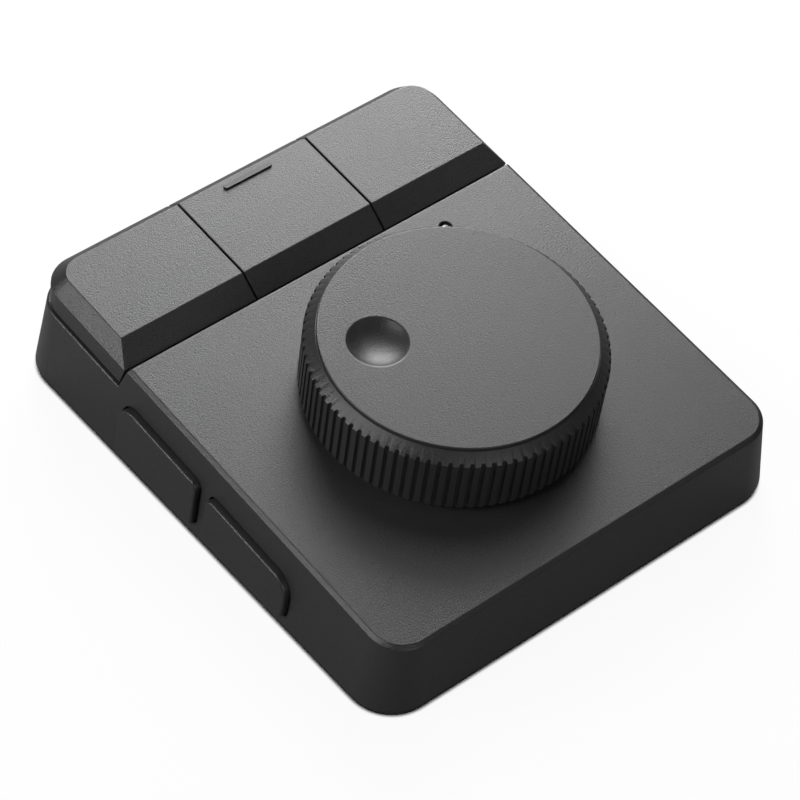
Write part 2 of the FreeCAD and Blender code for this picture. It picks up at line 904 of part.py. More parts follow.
def key_inner_parts(x):
    # Pusher over the switch, two guide posts with ribs, and two hooks that keep the cap in.
    y = key_middle_along
    ceiling = key_under + overlap
    switch_top = -board_down + switch_high + plunger_proud
    parts = [rod(x, y, switch_top, ceiling, pusher_r)]
    for side in (-1, 1):
        px = x + side * post_spread
        parts.append(rod(px, y, -post_low, ceiling, post_r))
        parts.append(rod(px, y, key_under - post_collar_high, ceiling, post_collar_r))
        parts.append(block(px - rib_thick / 2, px + rib_thick / 2, key_top_front + key_skin,
                           key_top_back - 2 * key_skin, key_under - rib_deep, ceiling))
    barb_top = -floor_under - hook_under
    half = hook_wide / 2
    for hx, hy, way in hook_places(x):
        t = hook_thick / 2
        tab = [(hy - t, ceiling), (hy + t, ceiling), (hy + t, -hook_low), (hy - t, -hook_low)]
        edge = hy + way * t
        barb = [(edge - way * overlap, barb_top), (edge + way * hook_barb, barb_top), (edge, -hook_low),
                (edge - way * overlap, -hook_low)]
        parts.append(prism_x(tab, hx - half, hx + half))
        parts.append(prism_x(barb, hx - half, hx + half))
    return parts


def key_cap(x, x0, x1, wall0, wall1):
    # One key: its slice of the block, hollowed between its two side walls.
    slice_form = block(x0, x1, 0.0, far, -far, far)
    room = block(x0 + wall0, x1 - wall1, 0.0, far, -far, far)
    cap = key_block().common(slice_form).cut(key_hollow().common(room))
    return fuse_all([cap] + key_inner_parts(x))


def key_cap_left():
    return tilt(key_cap(-key_side_x, -far, -seam_x - seam_gap / 2, 0.0, seam_wall))


def key_cap_middle():
    edge = seam_x - seam_gap / 2
    cap = key_cap(0.0, -edge, edge, seam_wall, seam_wall)
    return tilt(cap.cut(bar_form(bar_clear, key_top_up - bar_deep, far)))


def key_cap_right():
    return tilt(key_cap(key_side_x, seam_x + seam_gap / 2, far, seam_wall, 0.0))


def bar_form(grow, z0, z1):
    r = bar_wide / 2 + grow
    flat = (bar_long - bar_wide) / 2
    parts = [slab(0.0, bar_along, flat, r, z0, z1)]
    parts.extend([rod(side * flat, bar_along, z0, z1, r) for side in (-1, 1)])
    return fuse_all(parts)


def key_bar():
    crown = key_top_up + bar_proud
    bar = bar_form(0.0, key_top_up - bar_deep, crown)
    rim = [edge for edge in bar.Edges if edge.BoundBox.ZMin > crown - touch]
    return tilt(bar.makeFillet(bar_round, rim))


def key_spring(x):
    # Coil round the pusher, from the floor of the key well to the underside of the cap.
    h = spring_wire / 2
    start = -ledge_down + h
    rise = ledge_down + key_under - spring_wire
    helix = Part.makeHelix(rise / spring_turns, rise, spring_r)
    helix.translate(Vector(x, key_middle_along, start))
    middle = x + spring_r
    corners = [Vector(middle + i * h, key_middle_along, start + j * h)
               for i, j in ((-1, -1), (1, -1), (1, 1), (-1, 1))]
    section = Part.makePolygon(corners + [corners[0]])
    return tilt(Part.Wire(helix.Edges).makePipeShell([section], True, True))


# Dial

def dial_place(shape):
    moved = shape.copy()
    moved.translate(Vector(0, dial_along, 0))
    return tilt(moved)


def dial_ring():
    # Knurled ring: round grooves, open below, that run out through the sloping shoulder in arches.
    inner = knurl_r - ring_wall
    hole = spigot_r + spigot_gap
    ring = revolved([(knurl_r, dial_under + ring_edge), (knurl_r, knurl_top), (cone_r, cone_top),
                     (hole, cone_top), (hole, ring_roof_low), (inner, ring_roof_low), (inner, dial_under),
                     (knurl_r - ring_edge, dial_under)])
    cutters = []
    for i in range(knurl_count):
        x, y = on_circle(knurl_r - groove_in, full_turn * i / knurl_count)
        cutters.append(rod(x, y, 0.0, cone_top, groove_r))
    return dial_place(ring.cut(Part.makeCompound(cutters)))


def hub_screw_places():
    return [on_circle(hub_screw_circle, hub_screw_turn + full_turn * i / hub_screws)
            for i in range(hub_screws)]


def dial_top():
    # Flat lid with a round finger dimple, its bowl, and three screw posts below.
    disc = revolved([(0, cone_top - spigot_deep), (spigot_r, cone_top - spigot_deep),
                     (spigot_r, cone_top), (lid_r, cone_top),
                     (lid_r, dial_top_up - dial_edge_bevel),
                     (lid_r - dial_edge_bevel, dial_top_up), (0, dial_top_up)])
    ball_r = (dimple_r ** 2 + dimple_deep ** 2) / (2 * dimple_deep)
    middle = Vector(dimple_x, dimple_along, dial_top_up - dimple_deep + ball_r)
    bowl = Part.makeSphere(ball_r + bowl_skin, middle)
    bowl = bowl.common(rod(dimple_x, dimple_along, 0.0, cone_top, dimple_r + bowl_wider))
    parts = [disc, bowl]
    pilots = []
    for x, y in hub_screw_places():
        parts.append(rod(x, y, hub_disc_top, cone_top - overlap, hub_post_r))
        pilots.append(rod(x, y, 0.0, hub_disc_low + hub_screw_long + tip_room, hub_screw_r + screw_clear))
    return dial_place(fuse_all(parts).cut(pilots + [Part.makeSphere(ball_r, middle)]))


def dial_hub():
    # Spoked carrier: a boss bored for the shaft, a pierced disc, and a rim that meets the ring's roof.
    rim = rod(0, 0, hub_disc_top - overlap, ring_roof_low, hub_rim_r)
    rim = rim.cut(rod(0, 0, 0, far, hub_rim_r - hub_rim_wall))
    parts = [rod(0, 0, hub_disc_low, hub_disc_top, hub_rim_r), rim,
             rod(0, 0, hub_boss_low, hub_boss_top, hub_boss_r)]
    cuts = []
    step = full_turn / hub_spokes
    for i in range(hub_spokes):
        rib = block(hub_rib_start, hub_rim_r - hub_rib_inset, -hub_rib_thick / 2, hub_rib_thick / 2,
                    hub_disc_low - hub_rib_down, hub_disc_low + overlap)
        rib.rotate(Vector(0, 0, 0), Vector(0, 0, 1), hub_screw_turn + step * (i + 0.5))
        parts.append(rib)
        x, y = on_circle(hub_hole_circle, hub_screw_turn + step * i)
        cuts.append(rod(x, y, 0.0, far, hub_hole_r))
    for x, y in hub_screw_places():
        cuts.append(rod(x, y, 0.0, far, hub_screw_r + hub_screw_room))
    bore = rod(0, 0, 0.0, shaft_top + overlap / 2, shaft_r + hub_bore_clear)
    bore = bore.cut(block(-far, far, shaft_r - shaft_flat + hub_bore_clear, far, -far, far))
    return dial_place(fuse_all(parts).cut(cuts + [bore]))


def dial_screws():
    return dial_place(Part.makeCompound([screw(x, y, hub_disc_low, hub_screw_r, hub_head_r,
                                               hub_head_high, hub_screw_long)
                                         for x, y in hub_screw_places()]))


# Encoder under the dial

def encoder_pin_places():
    half = encoder_pin_pitch * (encoder_pins - 1) / 2
    return [-half + encoder_pin_pitch * i for i in range(encoder_pins)]


def encoder_base():
    # Moulded lower half with three bent solder pins, hollow for the rotor.
    parts = [block(-encoder_half_x, encoder_half_x, -encoder_half_along, encoder_half_along,
                   -board_down, -encoder_split)]
    half = encoder_pin_wide / 2
    end = -encoder_half_along - encoder_pin_out
    top = -board_down + encoder_pin_rise
    for x in encoder_pin_places():
        parts.append(block(x - half, x + half, end, -encoder_half_along + overlap, top - half, top))
        parts.append(block(x - half, x + half, end, end + half, -board_down - encoder_pin_drop, top))
    cup = rod(0, 0, -rotor_low - rotor_clear, 0.0, rotor_r + rotor_clear)
    return dial_place(fuse_all(parts).cut(cup))


def encoder_bush():
    # Metal upper half, drawn up into the bush that the nut holds.
    body = block(-encoder_half_x, encoder_half_x, -encoder_half_along, encoder_half_along,
                 -encoder_split, -wall)
    bush = rod(0, 0, -wall - overlap, bush_top - bush_lead, bush_r)
    lead = Part.makeCone(bush_r, bush_r - bush_lead, bush_lead, Vector(0, 0, bush_top - bush_lead))
    cup = rod(0, 0, -far, -rotor_low + rotor_high + rotor_head_room, rotor_r + rotor_clear)
    bore = rod(0, 0, -far, far, shaft_r + shaft_clear)
    return dial_place(fuse_all([body, bush, lead]).cut([cup, bore]))


def encoder_shaft():
    shaft = rod(0, 0, -rotor_low, shaft_top - shaft_lead, shaft_r)
    tip = Part.makeCone(shaft_r, shaft_r - shaft_lead, shaft_lead, Vector(0, 0, shaft_top - shaft_lead))
    rotor = rod(0, 0, -rotor_low, -rotor_low + rotor_high, rotor_r)
    flat = block(-far, far, shaft_r - shaft_flat, far, shaft_flat_low, far)
    return dial_place(fuse_all([shaft, tip, rotor]).cut(flat))


def encoder_washer():
    ring = rod(0, 0, 0.0, washer_thick, washer_r)
    return dial_place(ring.cut(rod(0, 0, 0.0, far, bush_r + washer_clear)))


def encoder_nut():
    corner = nut_half_flat / math.cos(math.pi / nut_sides)
    corners = [Vector(*on_circle(corner, full_turn * i / nut_sides), washer_thick)
               for i in range(nut_sides + 1)]
    nut = Part.Face(Part.makePolygon(corners)).extrude(Vector(0, 0, nut_high))
    low_r = corner + nut_high - nut_bevel
    round_off = Part.makeCone(low_r, corner - nut_bevel, nut_high, Vector(0, 0, washer_thick))
    return dial_place(nut.common(round_off).cut(rod(0, 0, 0.0, far, bush_r + nut_clear)))


# Side buttons, their board and its header

def side_outline(span, end, grow, x):
    # Outline of a side button in the wall. The top edge rises with the deck, and the corner next to
    # the other button is the tighter one.
    y0 = span[0] - grow
    y1 = span[1] + grow
    z0 = side_low - grow
    r0 = (side_outer_corner if end == "front" else side_inner_corner) + grow
    r1 = (side_outer_corner if end == "back" else side_inner_corner) + grow
    r = side_low_corner + grow
    k = arc_share

    def top(y):
        return side_top + side_rise * y + grow

    places = [(y0 + r, z0), (y1 - r, z0), (y1 - r * k, z0 + r * k), (y1, z0 + r), (y1, top(y1) - r1),
              (y1 - r1 * k, top(y1 - r1 / 2) - r1 * k), (y1 - r1, top(y1 - r1)), (y0 + r0, top(y0 + r0)),
              (y0 + r0 * k, top(y0 + r0 / 2) - r0 * k), (y0, top(y0) - r0), (y0, z0 + r),
              (y0 + r * k, z0 + r * k)]
    return closed_wire([Vector(x, y, z) for y, z in places], (1, 4, 7, 10))


def side_prism(span, end, grow, x0, x1):
    return Part.Face(side_outline(span, end, grow, x0)).extrude(Vector(x1 - x0, 0, 0))


def side_middle(span):
    y = (span[0] + span[1]) / 2
    return y, (side_low + side_top + side_rise * y) / 2


def side_button(span, end):
    # Face that follows the drafted wall, a flange behind the wall, and a nub over the switch.
    cap = side_prism(span, end, 0.0, -far, side_flange_x + overlap / 2)
    cap = cap.common(body_form(side_proud, False))
    rim = []
    for edge in cap.Edges:
        box = edge.BoundBox
        if box.XMax < side_flange_x - side_proud and box.XLength < wall:
            rim.append(edge)
    cap = cap.makeFillet(side_face_round, rim)
    y, z = side_middle(span)
    flange = side_prism(span, end, side_flange_out, side_flange_x, side_flange_x + side_flange_thick)
    flange = flange.cut(block(-far, 0.0, -far, far, -far, side_flange_low))
    tip = side_board_x - switch_high - plunger_proud
    nub = Part.makeCylinder(side_nub_r, tip - side_flange_x - overlap,
                            Vector(side_flange_x + overlap, y, z), Vector(1, 0, 0))
    return fuse_all([cap, flange, nub]).cut(side_pockets(span, y))


def side_pockets(span, y):
    # Two blind pockets in the back of a side button, which keep its wall even.
    x0 = side_flange_x - side_pocket_deep
    x1 = side_flange_x + side_flange_thick + overlap
    z0 = side_low + side_pocket_low
    z1 = z0 + side_pocket_high
    return [block(x0, x1, y + side_pocket_gap, span[1] - side_pocket_end, z0, z1),
            block(x0, x1, span[0] + side_pocket_end, y - side_pocket_gap, z0, z1)]


def lay_on_side(shape, y, z):
    # Turns a switch that was drawn standing up so that it points to the left wall.
    moved = shape.copy()
    moved.rotate(Vector(0, 0, 0), Vector(0, 1, 0), -90)
    moved.translate(Vector(side_board_x, y, z))
    return moved


def side_switches():
    return Part.makeCompound([lay_on_side(tact_body(0.0, 0.0, 0.0), *side_middle(span))
                              for span in (side_back_span, side_front_span)])


def side_plunger(span):
    return lay_on_side(tact_plunger(0.0, 0.0, 0.0), *side_middle(span))


def header_pin_set(half_side):
    # Bent square pins from the side board down into the main board, in the deck's frame.
    span = header_pitch * (header_count - 1) / 2
    up = -board_down + header_pin_up
    x0 = side_board_x - header_pin_through
    x1 = side_board_x + header_turn
    pins = []
    for i in range(header_count):
        y = header_along - span + header_pitch * i
        level = block(x0, x1, y - half_side, y + half_side, up - half_side, up + half_side)
        down = block(x1 - half_side, x1 + half_side, y - half_side, y + half_side,
                     board_under - header_pin_through, up + half_side)
        pins.append(fuse_all([level, down]))
    return pins


def header_pins():
    return tilt(Part.makeCompound(header_pin_set(header_pin_half)))


def header_block():
    x0 = side_board_x + board_thick + header_block_gap
    half = header_pitch * header_count / 2
    body = block(x0, x0 + header_block_wide, header_along - half, header_along + half, -board_down,
                 -board_down + header_block_high)
    return tilt(body.cut(header_pin_set(header_pin_half + header_clear)))


def side_board():
    board = block(side_board_x, side_board_x + board_thick, side_board_front, side_board_back,
                  side_board_low, side_board_top)
    return board.cut([tilt(pin) for pin in header_pin_set(header_hole_half)])


pieces = {
    "housing": housing,
    "base_plate": base_plate,
    "grip_pad": grip_pad,
    "case_screws": case_screws,
    "main_board": main_board,
    "board_screws": board_screws,
    "controller_chip": controller_chip,
    "board_parts": board_parts,
    "status_led": status_led,
    "light_pipe": light_pipe,
    "usb_socket": usb_socket,
    "usb_tongue": usb_tongue,
    "key_switches": key_switches,
    "key_plunger_left": lambda: key_plunger(-key_side_x),
    "key_plunger_middle": lambda: key_plunger(0.0),
    "key_plunger_right": lambda: key_plunger(key_side_x),
    "key_cap_left": key_cap_left,
    "key_cap_middle": key_cap_middle,
    "key_cap_right": key_cap_right,
    "key_bar": key_bar,
    "key_spring_left": lambda: key_spring(-key_side_x),
    "key_spring_middle": lambda: key_spring(0.0),
    "key_spring_right": lambda: key_spring(key_side_x),
    "dial_ring": dial_ring,
    "dial_top": dial_top,
    "dial_hub": dial_hub,
    "dial_screws": dial_screws,
    "encoder_base": encoder_base,
    "encoder_bush": encoder_bush,
    "encoder_shaft": encoder_shaft,
    "encoder_washer": encoder_washer,
    "encoder_nut": encoder_nut,
    "side_button_back": lambda: side_button(side_back_span, "back"),
    "side_button_front": lambda: side_button(side_front_span, "front"),
    "side_plunger_back": lambda: side_plunger(side_back_span),
    "side_plunger_front": lambda: side_plunger(side_front_span),
    "side_switches": side_switches,
    "side_board": side_board,
    "header_block": header_block,
    "header_pins": header_pins,
}

os.makedirs("parts", exist_ok=True)
for name, make in pieces.items():
    shape = make()
    print(name, shape.isValid(), len(shape.Solids), round(shape.Volume, 1), len(shape.Faces))
    shape.exportStep("parts/" + name + ".step")
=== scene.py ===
import math

import bmesh
import bpy
from mathutils import Matrix, Quaternion, Vector


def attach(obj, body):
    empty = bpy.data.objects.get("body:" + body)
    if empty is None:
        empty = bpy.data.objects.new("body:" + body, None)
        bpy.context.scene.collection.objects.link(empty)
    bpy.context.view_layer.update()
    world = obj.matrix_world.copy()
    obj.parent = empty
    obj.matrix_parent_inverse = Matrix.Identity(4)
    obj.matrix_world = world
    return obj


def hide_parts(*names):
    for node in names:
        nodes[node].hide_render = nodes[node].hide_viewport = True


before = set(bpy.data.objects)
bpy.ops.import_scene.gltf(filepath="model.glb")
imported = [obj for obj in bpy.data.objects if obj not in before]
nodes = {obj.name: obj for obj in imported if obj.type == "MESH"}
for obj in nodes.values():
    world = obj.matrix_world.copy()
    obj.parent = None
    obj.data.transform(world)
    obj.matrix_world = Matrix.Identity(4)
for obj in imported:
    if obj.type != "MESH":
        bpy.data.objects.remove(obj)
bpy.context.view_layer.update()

scene = bpy.context.scene

# Pieces are drawn in millimetres, standing on the deck, and a place carries them to the frame.
deck = {"level": 19.97, "angle": 4.04, "dialAlong": -12.95}

toMetres = Matrix.Scale(0.001, 4)
deckPlace = (toMetres @ Matrix.Translation((0, 0, deck["level"]))
             @ Matrix.Rotation(math.radians(deck["angle"]), 4, "X"))
dialPlace = deckPlace @ Matrix.Translation((0, deck["dialAlong"], 0))
upright = (0, 0, 1)
fullTurn = 2 * math.pi
merge = 0.0005  # corners nearer than this are one
touch = 0.01  # how near counts as on a level or on a circle
smoothBelow = 38
mean = 0.5  # of a noise


# Shader nodes

bevelSamples = 8


class Flow:  # a node's output that takes part in sums
    def __init__(self, finish, socket):
        self.finish = finish
        self.socket = socket

    def sum(self, operation, first, second):
        return self.finish.node("ShaderNodeMath", {"operation": operation}, {0: first, 1: second})

    def clamped(self, factor):
        return self.finish.node("ShaderNodeMath", {"operation": "MULTIPLY", "use_clamp": True},
                                {0: self, 1: factor})

    def __add__(self, other):
        return self.sum("ADD", self, other)

    def __radd__(self, other):
        return self.sum("ADD", other, self)

    def __sub__(self, other):
        return self.sum("SUBTRACT", self, other)

    def __mul__(self, other):
        return self.sum("MULTIPLY", self, other)

    def __rmul__(self, other):
        return self.sum("MULTIPLY", other, self)


class Finish:  # one material and the nodes that make its look
    def __init__(self, name, fixed=None):
        self.material = bpy.data.materials.new(name)
        self.material.use_nodes = True
        self.tree = self.material.node_tree
        self.shader = self.tree.nodes["Principled BSDF"]
        for key, value in (fixed or {}).items():
            self.shader.inputs[key].default_value = value

    def node(self, kind, settings=None, inputs=None, output=0):
        made = self.tree.nodes.new(kind)
        for key, value in (settings or {}).items():
            setattr(made, key, value)
        for key, value in (inputs or {}).items():
            self.feed(made.inputs[key], value)
        return Flow(self, made.outputs[output])

    def feed(self, socket, value):
        if isinstance(value, Flow):
            self.tree.links.new(value.socket, socket)
        else:
            socket.default_value = value

    def drive(self, **looks):
        for key, value in looks.items():
            self.feed(self.shader.inputs[key.replace("_", " ")], value)

    def place(self, stretch=(1, 1, 1)):
        spot = self.node("ShaderNodeTexCoord", output="Object")
        return self.node("ShaderNodeMapping", {}, {"Vector": spot, "Scale": stretch})

    def noise(self, spot, size, detail=2.0, roughness=0.55):
        return self.node("ShaderNodeTexNoise", {"noise_dimensions": "3D"},
                         {"Vector": spot, "Scale": 1 / size, "Detail": detail, "Roughness": roughness})

    def blend(self, share, dark, light):
        return self.node("ShaderNodeMix", {"data_type": "RGBA"}, {0: share, 6: dark, 7: light}, 2)

    def bump(self, height, depth, edge=None):
        relief = {"Height": height, "Distance": depth, "Strength": 1.0}
        if edge:
            relief["Normal"] = self.node("ShaderNodeBevel", {"samples": bevelSamples}, {"Radius": edge})
        return self.node("ShaderNodeBump", {}, relief)


def shade(colour, factor):
    return tuple(channel * factor for channel in colour) + (1.0,)


# Finishes

plastics = {
    "casePlastic": {"colour": (0.0290, 0.0290, 0.0290), "roughness": 0.325, "grain": 0.00026, "depth": 0.000060,
                    "edge": 0.00032},
    "keyPlastic": {"colour": (0.0300, 0.0300, 0.0300), "roughness": 0.325, "grain": 0.00026, "depth": 0.000070},
    "dialPlastic": {"colour": (0.0280, 0.0280, 0.0280), "roughness": 0.335, "grain": 0.00026,
                    "depth": 0.000060},
    "innerPlastic": {"colour": (0.030, 0.031, 0.034), "roughness": 0.50, "grain": 0.00040, "depth": 0.000012},
    "darkInlay": {"colour": (0.014, 0.014, 0.016), "roughness": 0.40, "grain": 0.00020, "depth": 0.000008},
    "switchPlastic": {"colour": (0.038, 0.038, 0.042), "roughness": 0.55, "grain": 0.00026, "depth": 0.000010},
    "chipResin": {"colour": (0.020, 0.020, 0.022), "roughness": 0.62, "grain": 0.00012, "depth": 0.000010},
}


mottle = {"driftSize": 0.014, "drift": 0.3, "speckle": 1.2, "dark": 0.78, "light": 1.22,
          "sheenDrift": 0.06, "sheenGrain": 0.30}


def mouldedPlastic(name):
    # Spark-eroded grain, with a slow drift of tone and of sheen over the piece.
    look = plastics[name]
    finish = Finish(name)
    spot = finish.place()
    grain = finish.noise(spot, look["grain"], detail=3.0, roughness=0.6)
    drift = finish.noise(spot, mottle["driftSize"])
    tone = mean + mottle["drift"] * (drift - mean) + mottle["speckle"] * (grain - mean)
    finish.drive(Base_Color=finish.blend(tone, shade(look["colour"], mottle["dark"]),
                                         shade(look["colour"], mottle["light"])),
                 Roughness=(look["roughness"] + mottle["sheenDrift"] * (drift - mean)
                            + mottle["sheenGrain"] * (grain - mean)),
                 Normal=finish.bump(grain, look["depth"], look.get("edge")))
    return finish.material


metals = {
    "steel": {"colour": (0.62, 0.62, 0.63), "roughness": 0.30, "stretch": (1, 1, 24), "depth": 0.000004},
    "blackScrew": {"colour": (0.11, 0.11, 0.115), "roughness": 0.38, "stretch": (1, 1, 1), "depth": 0.000006},
    "turnedShaft": {"colour": (0.75, 0.75, 0.76), "roughness": 0.28, "stretch": (1, 1, 40), "depth": 0.000005},
    "goldPlate": {"colour": (0.83, 0.66, 0.30), "roughness": 0.22, "stretch": (1, 12, 1), "depth": 0.000002},
}


toolMarks = {"size": 0.0012, "hazeSize": 0.006, "dark": 0.92, "light": 1.04, "sheenMarks": 0.16,
             "sheenHaze": 0.10}


def workedMetal(name):
    # Fine tool marks along one direction, and a faint handling haze.
    look = metals[name]
    finish = Finish(name, {"Metallic": 1.0})
    marks = finish.noise(finish.place(look["stretch"]), toolMarks["size"], detail=4.0)
    haze = finish.noise(finish.place(), toolMarks["hazeSize"])
    finish.drive(Base_Color=finish.blend(haze, shade(look["colour"], toolMarks["dark"]),
                                         shade(look["colour"], toolMarks["light"])),
                 Roughness=(look["roughness"] + toolMarks["sheenMarks"] * (marks - mean)
                            + toolMarks["sheenHaze"] * (haze - mean)),
                 Normal=finish.bump(marks, look["depth"]))
    return finish.material


rubber = {"colour": (0.020, 0.020, 0.021), "roughness": 0.78, "grain": 0.0005, "depth": 0.00004,
          "dust": 0.009, "dark": 0.8, "light": 1.4, "sheen": 0.15}


def padRubber():
    finish = Finish("padRubber", {"Specular IOR Level": 0.35})
    spot = finish.place()
    grain = finish.noise(spot, rubber["grain"], detail=4.0, roughness=0.65)
    dust = finish.noise(spot, rubber["dust"], detail=3.0)
    finish.drive(Base_Color=finish.blend(dust, shade(rubber["colour"], rubber["dark"]),
                                         shade(rubber["colour"], rubber["light"])),
                 Roughness=rubber["roughness"] + rubber["sheen"] * (grain - mean),
                 Normal=finish.bump(grain, rubber["depth"]))
    return finish.material


boardLook = {"mask": (0.012, 0.085, 0.045), "track": (0.020, 0.135, 0.075), "brick": 0.006,
             "trackWide": 0.00035, "offset": 0.37, "cloud": 0.004, "dark": 0.85, "light": 1.15,
             "roughness": 0.30, "sheen": 0.12, "depth": 0.00003}


def solderMask():
    # Lacquered board: the copper tracks show through the mask as lighter lines.
    finish = Finish("solderMask", {"Specular IOR Level": 0.6})
    spot = finish.place()
    tracks = finish.node("ShaderNodeTexBrick", {"offset": boardLook["offset"], "squash": 1.0},
                         {"Vector": spot, "Scale": 1.0, "Mortar Size": boardLook["trackWide"],
                          "Brick Width": boardLook["brick"], "Row Height": boardLook["brick"] / 3}, 1)
    cloud = finish.noise(spot, boardLook["cloud"])
    mask = finish.blend(cloud, shade(boardLook["mask"], boardLook["dark"]),
                        shade(boardLook["mask"], boardLook["light"]))
    finish.drive(Base_Color=finish.blend(tracks, mask, shade(boardLook["track"], 1.0)),
                 Roughness=boardLook["roughness"] + boardLook["sheen"] * (cloud - mean),
                 Normal=finish.bump(tracks, boardLook["depth"]))
    return finish.material


light = {"colour": (0.42, 0.42, 0.42), "roughness": 0.22, "cloud": 0.0007, "dark": 0.86, "light": 1.04,
         "sheen": 0.1, "depth": 0.00001}


def milkyLight():
    # Milky clear plastic, a little brighter at its heart.
    finish = Finish("milkyLight", {"Subsurface Weight": 0.2, "Subsurface Scale": 0.0006})
    cloud = finish.noise(finish.place(), light["cloud"])
    finish.drive(Base_Color=finish.blend(cloud, shade(light["colour"], light["dark"]),
                                         shade(light["colour"], light["light"])),
                 Roughness=light["roughness"] + light["sheen"] * (cloud - mean),
                 Normal=finish.bump(cloud, light["depth"]))
    return finish.material


finishes = {name: mouldedPlastic(name) for name in plastics}
finishes.update({name: workedMetal(name) for name in metals})
finishes["padRubber"] = padRubber()
finishes["solderMask"] = solderMask()
finishes["milkyLight"] = milkyLight()
print("finishes:", len(finishes))

nodeFinish = {
    "housing": "casePlastic", "side_button_back": "casePlastic", "side_button_front": "casePlastic",
    "key_cap_left": "keyPlastic", "key_cap_middle": "keyPlastic", "key_cap_right": "keyPlastic",
    "dial_ring": "dialPlastic", "dial_top": "dialPlastic", "dial_hub": "innerPlastic",
    "base_plate": "innerPlastic", "key_bar": "darkInlay", "grip_pad": "padRubber",
    "main_board": "solderMask", "side_board": "solderMask", "controller_chip": "chipResin",
    "board_parts": "chipResin", "usb_tongue": "chipResin", "header_block": "chipResin",
    "key_switches": "switchPlastic", "side_switches": "switchPlastic", "encoder_base": "switchPlastic",
    "key_plunger_left": "switchPlastic", "key_plunger_middle": "switchPlastic",
    "key_plunger_right": "switchPlastic", "side_plunger_back": "switchPlastic",
    "side_plunger_front": "switchPlastic", "status_led": "milkyLight", "light_pipe": "milkyLight",
    "usb_socket": "steel", "key_spring_left": "steel", "key_spring_middle": "steel",
    "key_spring_right": "steel", "encoder_bush": "steel", "encoder_washer": "steel", "encoder_nut": "steel",
    "encoder_shaft": "turnedShaft", "case_screws": "blackScrew", "board_screws": "blackScrew",
    "dial_screws": "blackScrew", "header_pins": "goldPlate",
}
for name, finishName in nodeFinish.items():
    for held in nodes[name].material_slots:
        held.material = finishes[finishName]
print("nodes with a finish:", len(nodeFinish))


# Modelling helpers

def vertsOf(geometry):
    return [part for part in geometry if isinstance(part, bmesh.types.BMVert)]


def edgesOf(geometry):
    return [part for part in geometry if isinstance(part, bmesh.types.BMEdge)]


def chain(bm, corners):
    # A line of edges through (across, up) corners, to be spun round the upright axis.
    verts = [bmesh.ops.create_vert(bm, co=(x, 0, z))["vert"][0] for x, z in corners]
    for start, end in zip(verts, verts[1:]):
        bm.edges.new((start, end))
    return verts


def swing(bm, vert, centre, axis, angle, steps):
    made = bmesh.ops.spin(bm, geom=[vert], cent=centre, axis=axis, dvec=(0, 0, 0), angle=angle, steps=steps,
                          use_merge=False, use_duplicate=False)
    return made["geom_last"][0]


def spinFully(bm, geometry, steps, centre=(0, 0, 0)):
    bmesh.ops.spin(bm, geom=geometry, cent=centre, axis=upright, dvec=(0, 0, 0), angle=fullTurn,
                   steps=steps, use_merge=True, use_duplicate=False)


def pullLoop(bm, edges, where):
    # Extrudes a row of edges and sets each new corner by the function given.
    made = bmesh.ops.extrude_edge_only(bm, edges=edges)["geom"]
    for vert in vertsOf(made):
        vert.co = where(vert)
    return edgesOf(made)


def soften(bm, edges, offset, segments):
    bmesh.ops.bevel(bm, geom=edges, offset=offset, offset_type="OFFSET", segments=segments, profile=0.5,
                    affect="EDGES", clamp_overlap=True, material=-1)


def outline(bm, halfWide, front, back, up, corner, squareFront=False, segments=10):
    # The edges of a level outline with rounded corners.
    older = set(bm.edges)
    verts = bmesh.ops.create_grid(bm, x_segments=1, y_segments=1, size=1.0)["verts"]
    bmesh.ops.scale(bm, vec=(halfWide, (back - front) / 2, 1), verts=verts)
    bmesh.ops.translate(bm, vec=(0, (front + back) / 2, up), verts=verts)
    rounded = [v for v in verts if not squareFront or v.co.y > (front + back) / 2]
    bmesh.ops.bevel(bm, geom=rounded, offset=corner, offset_type="OFFSET", segments=segments, profile=0.5,
                    affect="VERTICES", clamp_overlap=False, material=-1)
    ring = [edge for edge in bm.edges if edge not in older]
    faces = list({face for edge in ring for face in edge.link_faces})
    bmesh.ops.delete(bm, geom=faces, context="FACES_ONLY")
    return ring


def sharpEdges(bm, least):
    return [edge for edge in bm.edges
            if len(edge.link_faces) == 2 and edge.calc_face_angle() > math.radians(least)]


def addPiece(name, bm, place, body, finishName, replaced=()):
    bmesh.ops.remove_doubles(bm, verts=bm.verts, dist=merge)
    bmesh.ops.recalc_face_normals(bm, faces=bm.faces)
    bmesh.ops.transform(bm, matrix=place, verts=bm.verts)
    for face in bm.faces:
        face.smooth = True
    mesh = bpy.data.meshes.new(name)
    bm.to_mesh(mesh)
    bm.free()
    mesh.set_sharp_from_angle(angle=math.radians(smoothBelow))
    mesh.materials.append(finishes[finishName])
    piece = bpy.data.objects.new(name, mesh)
    bpy.context.collection.objects.link(piece)
    even = piece.modifiers.new("even", "WEIGHTED_NORMAL")
    even.mode = "FACE_AREA"
    even.keep_sharp = True
    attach(piece, body)
    if replaced:
        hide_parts(*replaced)
    print(name, len(mesh.polygons), "faces")


# Dial ring: one tooth with half a land on each side, then ninety of them

ring = {"teeth": 90, "radius": 25.74, "grooveRadius": 0.42, "grooveIn": 0.10, "bottom": 1.37,
        "bottomSlope": 0.40, "knurlTop": 12.50, "coneRadius": 23.75, "coneTop": 14.15, "mouthRadius": 21.50,
        "roof": 12.55, "innerRadius": 23.19, "edgeRound": 0.11, "landSteps": 3, "grooveSteps": 10,
        "edgeSteps": 2, "flankNear": 0.0002}


